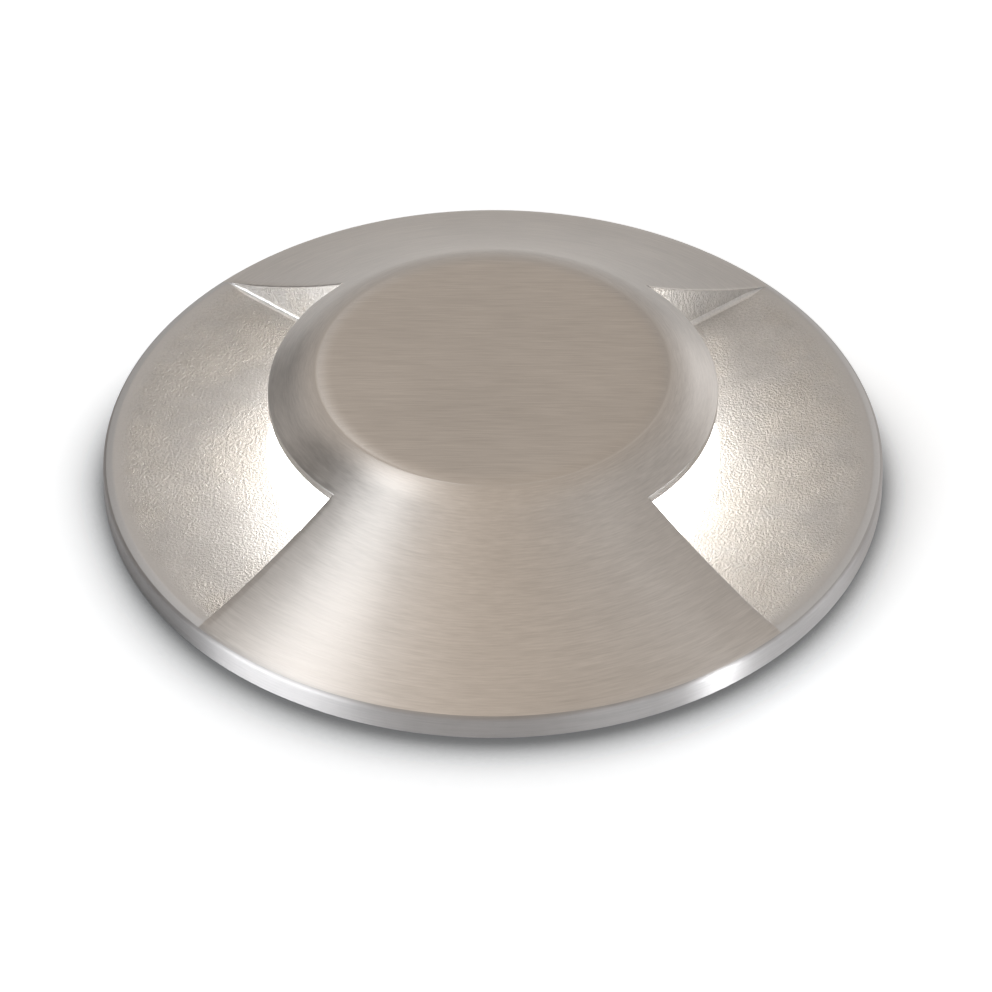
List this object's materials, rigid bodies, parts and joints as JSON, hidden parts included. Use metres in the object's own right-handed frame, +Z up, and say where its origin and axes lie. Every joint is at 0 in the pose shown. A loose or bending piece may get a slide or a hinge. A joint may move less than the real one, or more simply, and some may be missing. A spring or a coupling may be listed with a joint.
{
  "type": "in-ground light",
  "caption": "Round in-ground marker light: coned stainless cover with opposed glowing windows in cast recesses, screw-in lamp housing and buried installation sleeve.",
  "frame": {"origin": "on the light's axis at ground level, at the underside of the cover's rim", "axes": "+Z up out of the ground along the light's axis; the two windows face +X and -X"},
  "size_m": [0.11, 0.11, 0.1144],
  "materials": {
    "brushed_stainless": "brushed and sand cast",
    "opal_diffuser": "opal, lit from inside",
    "seal_rubber": "matte",
    "cast_aluminium": "die-cast, shot blasted",
    "screw_steel": "zinc plated",
    "thermal_pad": "matte",
    "white_board": "white solder mask",
    "led_phosphor": "phosphor",
    "polished_reflector": "polished",
    "red_insulation": "extruded",
    "black_insulation": "extruded",
    "green_board": "solder mask",
    "component_black": "moulded",
    "capacitor_sleeve": "shrink sleeve",
    "terminal_plastic": "moulded",
    "nickel_brass": "nickel plated",
    "sleeve_plastic": "moulded, fine grain"
  },
  "bodies": {
    "sleeve": {"mounting_sleeve": "sleeve_plastic"},
    "cover": {"top_cover": "brushed_stainless", "cover_gasket": "seal_rubber"},
    "diffuser": {"light_diffuser": "opal_diffuser"},
    "housing": {"housing": "cast_aluminium", "housing_seal_ring": "seal_rubber", "grip_ring_upper": "seal_rubber", "grip_ring_lower": "seal_rubber", "led_carrier": "cast_aluminium", "carrier_screws": "screw_steel", "thermal_pad": "thermal_pad", "led_board": "white_board", "led_emitters": "led_phosphor", "board_screws": "screw_steel", "reflector_trumpet": "polished_reflector", "reflector_screw": "screw_steel", "led_lead_positive": "red_insulation", "led_lead_negative": "black_insulation", "driver_board": "green_board", "driver_choke": "component_black", "driver_capacitors": "capacitor_sleeve", "driver_chips": "component_black", "driver_standoffs": "nickel_brass", "driver_screws": "screw_steel", "terminal_block": "terminal_plastic", "terminal_screws": "screw_steel", "gland_washer": "seal_rubber", "gland_body": "nickel_brass", "gland_insert": "seal_rubber", "gland_nut": "nickel_brass"}
  },
  "joints": [
    {"name": "luminaire_lift", "type": "slide", "parent": "sleeve", "child": "cover", "axis": [0, 0, 1], "range_m": [0, 0.09]},
    {"name": "diffuser_drop", "type": "slide", "parent": "cover", "child": "diffuser", "axis": [0, 0, -1], "range_m": [0, 0.006]},
    {"name": "housing_unscrew", "type": "hinge", "parent": "diffuser", "child": "housing", "pos_m": [0, 0, 0], "axis": [0, 0, -1], "range_deg": [0, 1080]}
  ],
  "couplings": [
    {"joint": "diffuser_drop", "follows": "housing_unscrew", "m_per_rad": 0.000318}
  ]
}
